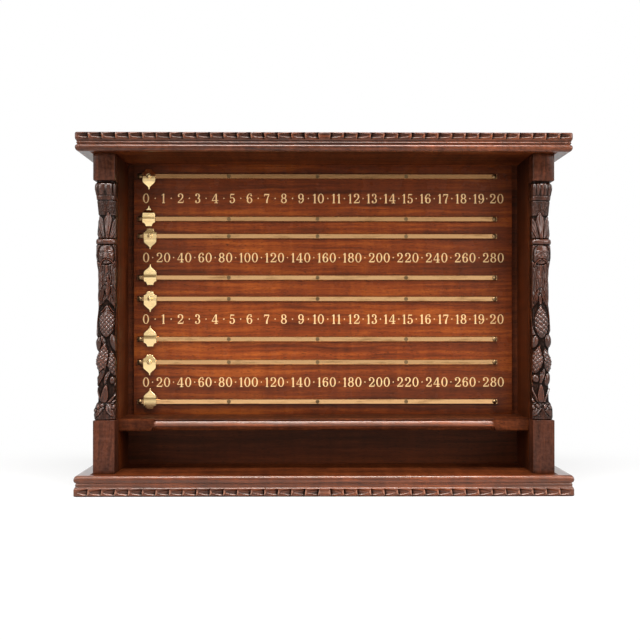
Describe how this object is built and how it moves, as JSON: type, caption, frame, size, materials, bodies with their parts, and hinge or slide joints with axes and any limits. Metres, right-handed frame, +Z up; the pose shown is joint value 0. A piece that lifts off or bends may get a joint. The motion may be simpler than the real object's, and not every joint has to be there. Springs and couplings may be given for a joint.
{
  "type": "snooker scoreboard",
  "caption": "Wall-hung mahogany snooker scoreboard: carved posts and cornice, sliding brass pointers on rails over gilt number rows, and an open ball shelf.",
  "frame": {"origin": "under the middle of the base board, at the middle of the object's depth", "axes": "+X to the right of someone reading the numbers, +Y to the back (the wall), +Z up"},
  "size_m": [0.915, 0.175, 0.6665],
  "materials": {
    "mahogany_case": "french polished, dark in the recesses",
    "mahogany_carved": "carved and french polished, worn lighter on the high points",
    "mahogany_panel": "french polished, red brown",
    "beech_dowel": "plain turned",
    "brass_rail": "worn, lightly tarnished",
    "brass_pointer": "polished by use",
    "spring_brass": "bare rolled strip",
    "steel_screw": "dull, aged"
  },
  "bodies": {
    "case": {"base_board": "mahogany_case", "top_board": "mahogany_case", "left_side": "mahogany_case", "right_side": "mahogany_case", "left_post": "mahogany_carved", "right_post": "mahogany_carved", "back_board": "mahogany_panel", "score_panel": "mahogany_panel", "shelf": "mahogany_case", "case_dowels": "beech_dowel", "back_screws": "steel_screw", "hanging_plates": "brass_rail", "hanging_plate_screws": "steel_screw", "rail_screws": "brass_rail", "rail_1": "brass_rail", "rail_2": "brass_rail", "rail_3": "brass_rail", "rail_4": "brass_rail", "rail_5": "brass_rail", "rail_6": "brass_rail", "rail_7": "brass_rail", "rail_8": "brass_rail"},
    "pointer_1": {"pointer_1": "brass_pointer", "pointer_1_clip": "brass_rail", "pointer_1_spring": "spring_brass", "pointer_1_knob": "brass_pointer"},
    "pointer_2": {"pointer_2": "brass_pointer", "pointer_2_clip": "brass_rail", "pointer_2_spring": "spring_brass"},
    "pointer_3": {"pointer_3": "brass_pointer", "pointer_3_clip": "brass_rail", "pointer_3_spring": "spring_brass", "pointer_3_knob": "brass_pointer"},
    "pointer_4": {"pointer_4": "brass_pointer", "pointer_4_clip": "brass_rail", "pointer_4_spring": "spring_brass"},
    "pointer_5": {"pointer_5": "brass_pointer", "pointer_5_clip": "brass_rail", "pointer_5_spring": "spring_brass", "pointer_5_knob": "brass_pointer"},
    "pointer_6": {"pointer_6": "brass_pointer", "pointer_6_clip": "brass_rail", "pointer_6_spring": "spring_brass"},
    "pointer_7": {"pointer_7": "brass_pointer", "pointer_7_clip": "brass_rail", "pointer_7_spring": "spring_brass", "pointer_7_knob": "brass_pointer"},
    "pointer_8": {"pointer_8": "brass_pointer", "pointer_8_clip": "brass_rail", "pointer_8_spring": "spring_brass"}
  },
  "joints": [
    {"name": "pointer_1_slide", "type": "slide", "parent": "case", "child": "pointer_1", "axis": [1, 0, 0], "range_m": [-0.0004, 0.6664]},
    {"name": "pointer_2_slide", "type": "slide", "parent": "case", "child": "pointer_2", "axis": [1, 0, 0], "range_m": [0, 0.6668]},
    {"name": "pointer_3_slide", "type": "slide", "parent": "case", "child": "pointer_3", "axis": [1, 0, 0], "range_m": [-0.0029, 0.6639]},
    {"name": "pointer_4_slide", "type": "slide", "parent": "case", "child": "pointer_4", "axis": [1, 0, 0], "range_m": [-0.0029, 0.6639]},
    {"name": "pointer_5_slide", "type": "slide", "parent": "case", "child": "pointer_5", "axis": [1, 0, 0], "range_m": [-0.0029, 0.6639]},
    {"name": "pointer_6_slide", "type": "slide", "parent": "case", "child": "pointer_6", "axis": [1, 0, 0], "range_m": [-0.0029, 0.6639]},
    {"name": "pointer_7_slide", "type": "slide", "parent": "case", "child": "pointer_7", "axis": [1, 0, 0], "range_m": [-0.0019, 0.6649]},
    {"name": "pointer_8_slide", "type": "slide", "parent": "case", "child": "pointer_8", "axis": [1, 0, 0], "range_m": [-0.0029, 0.6639]}
  ]
}
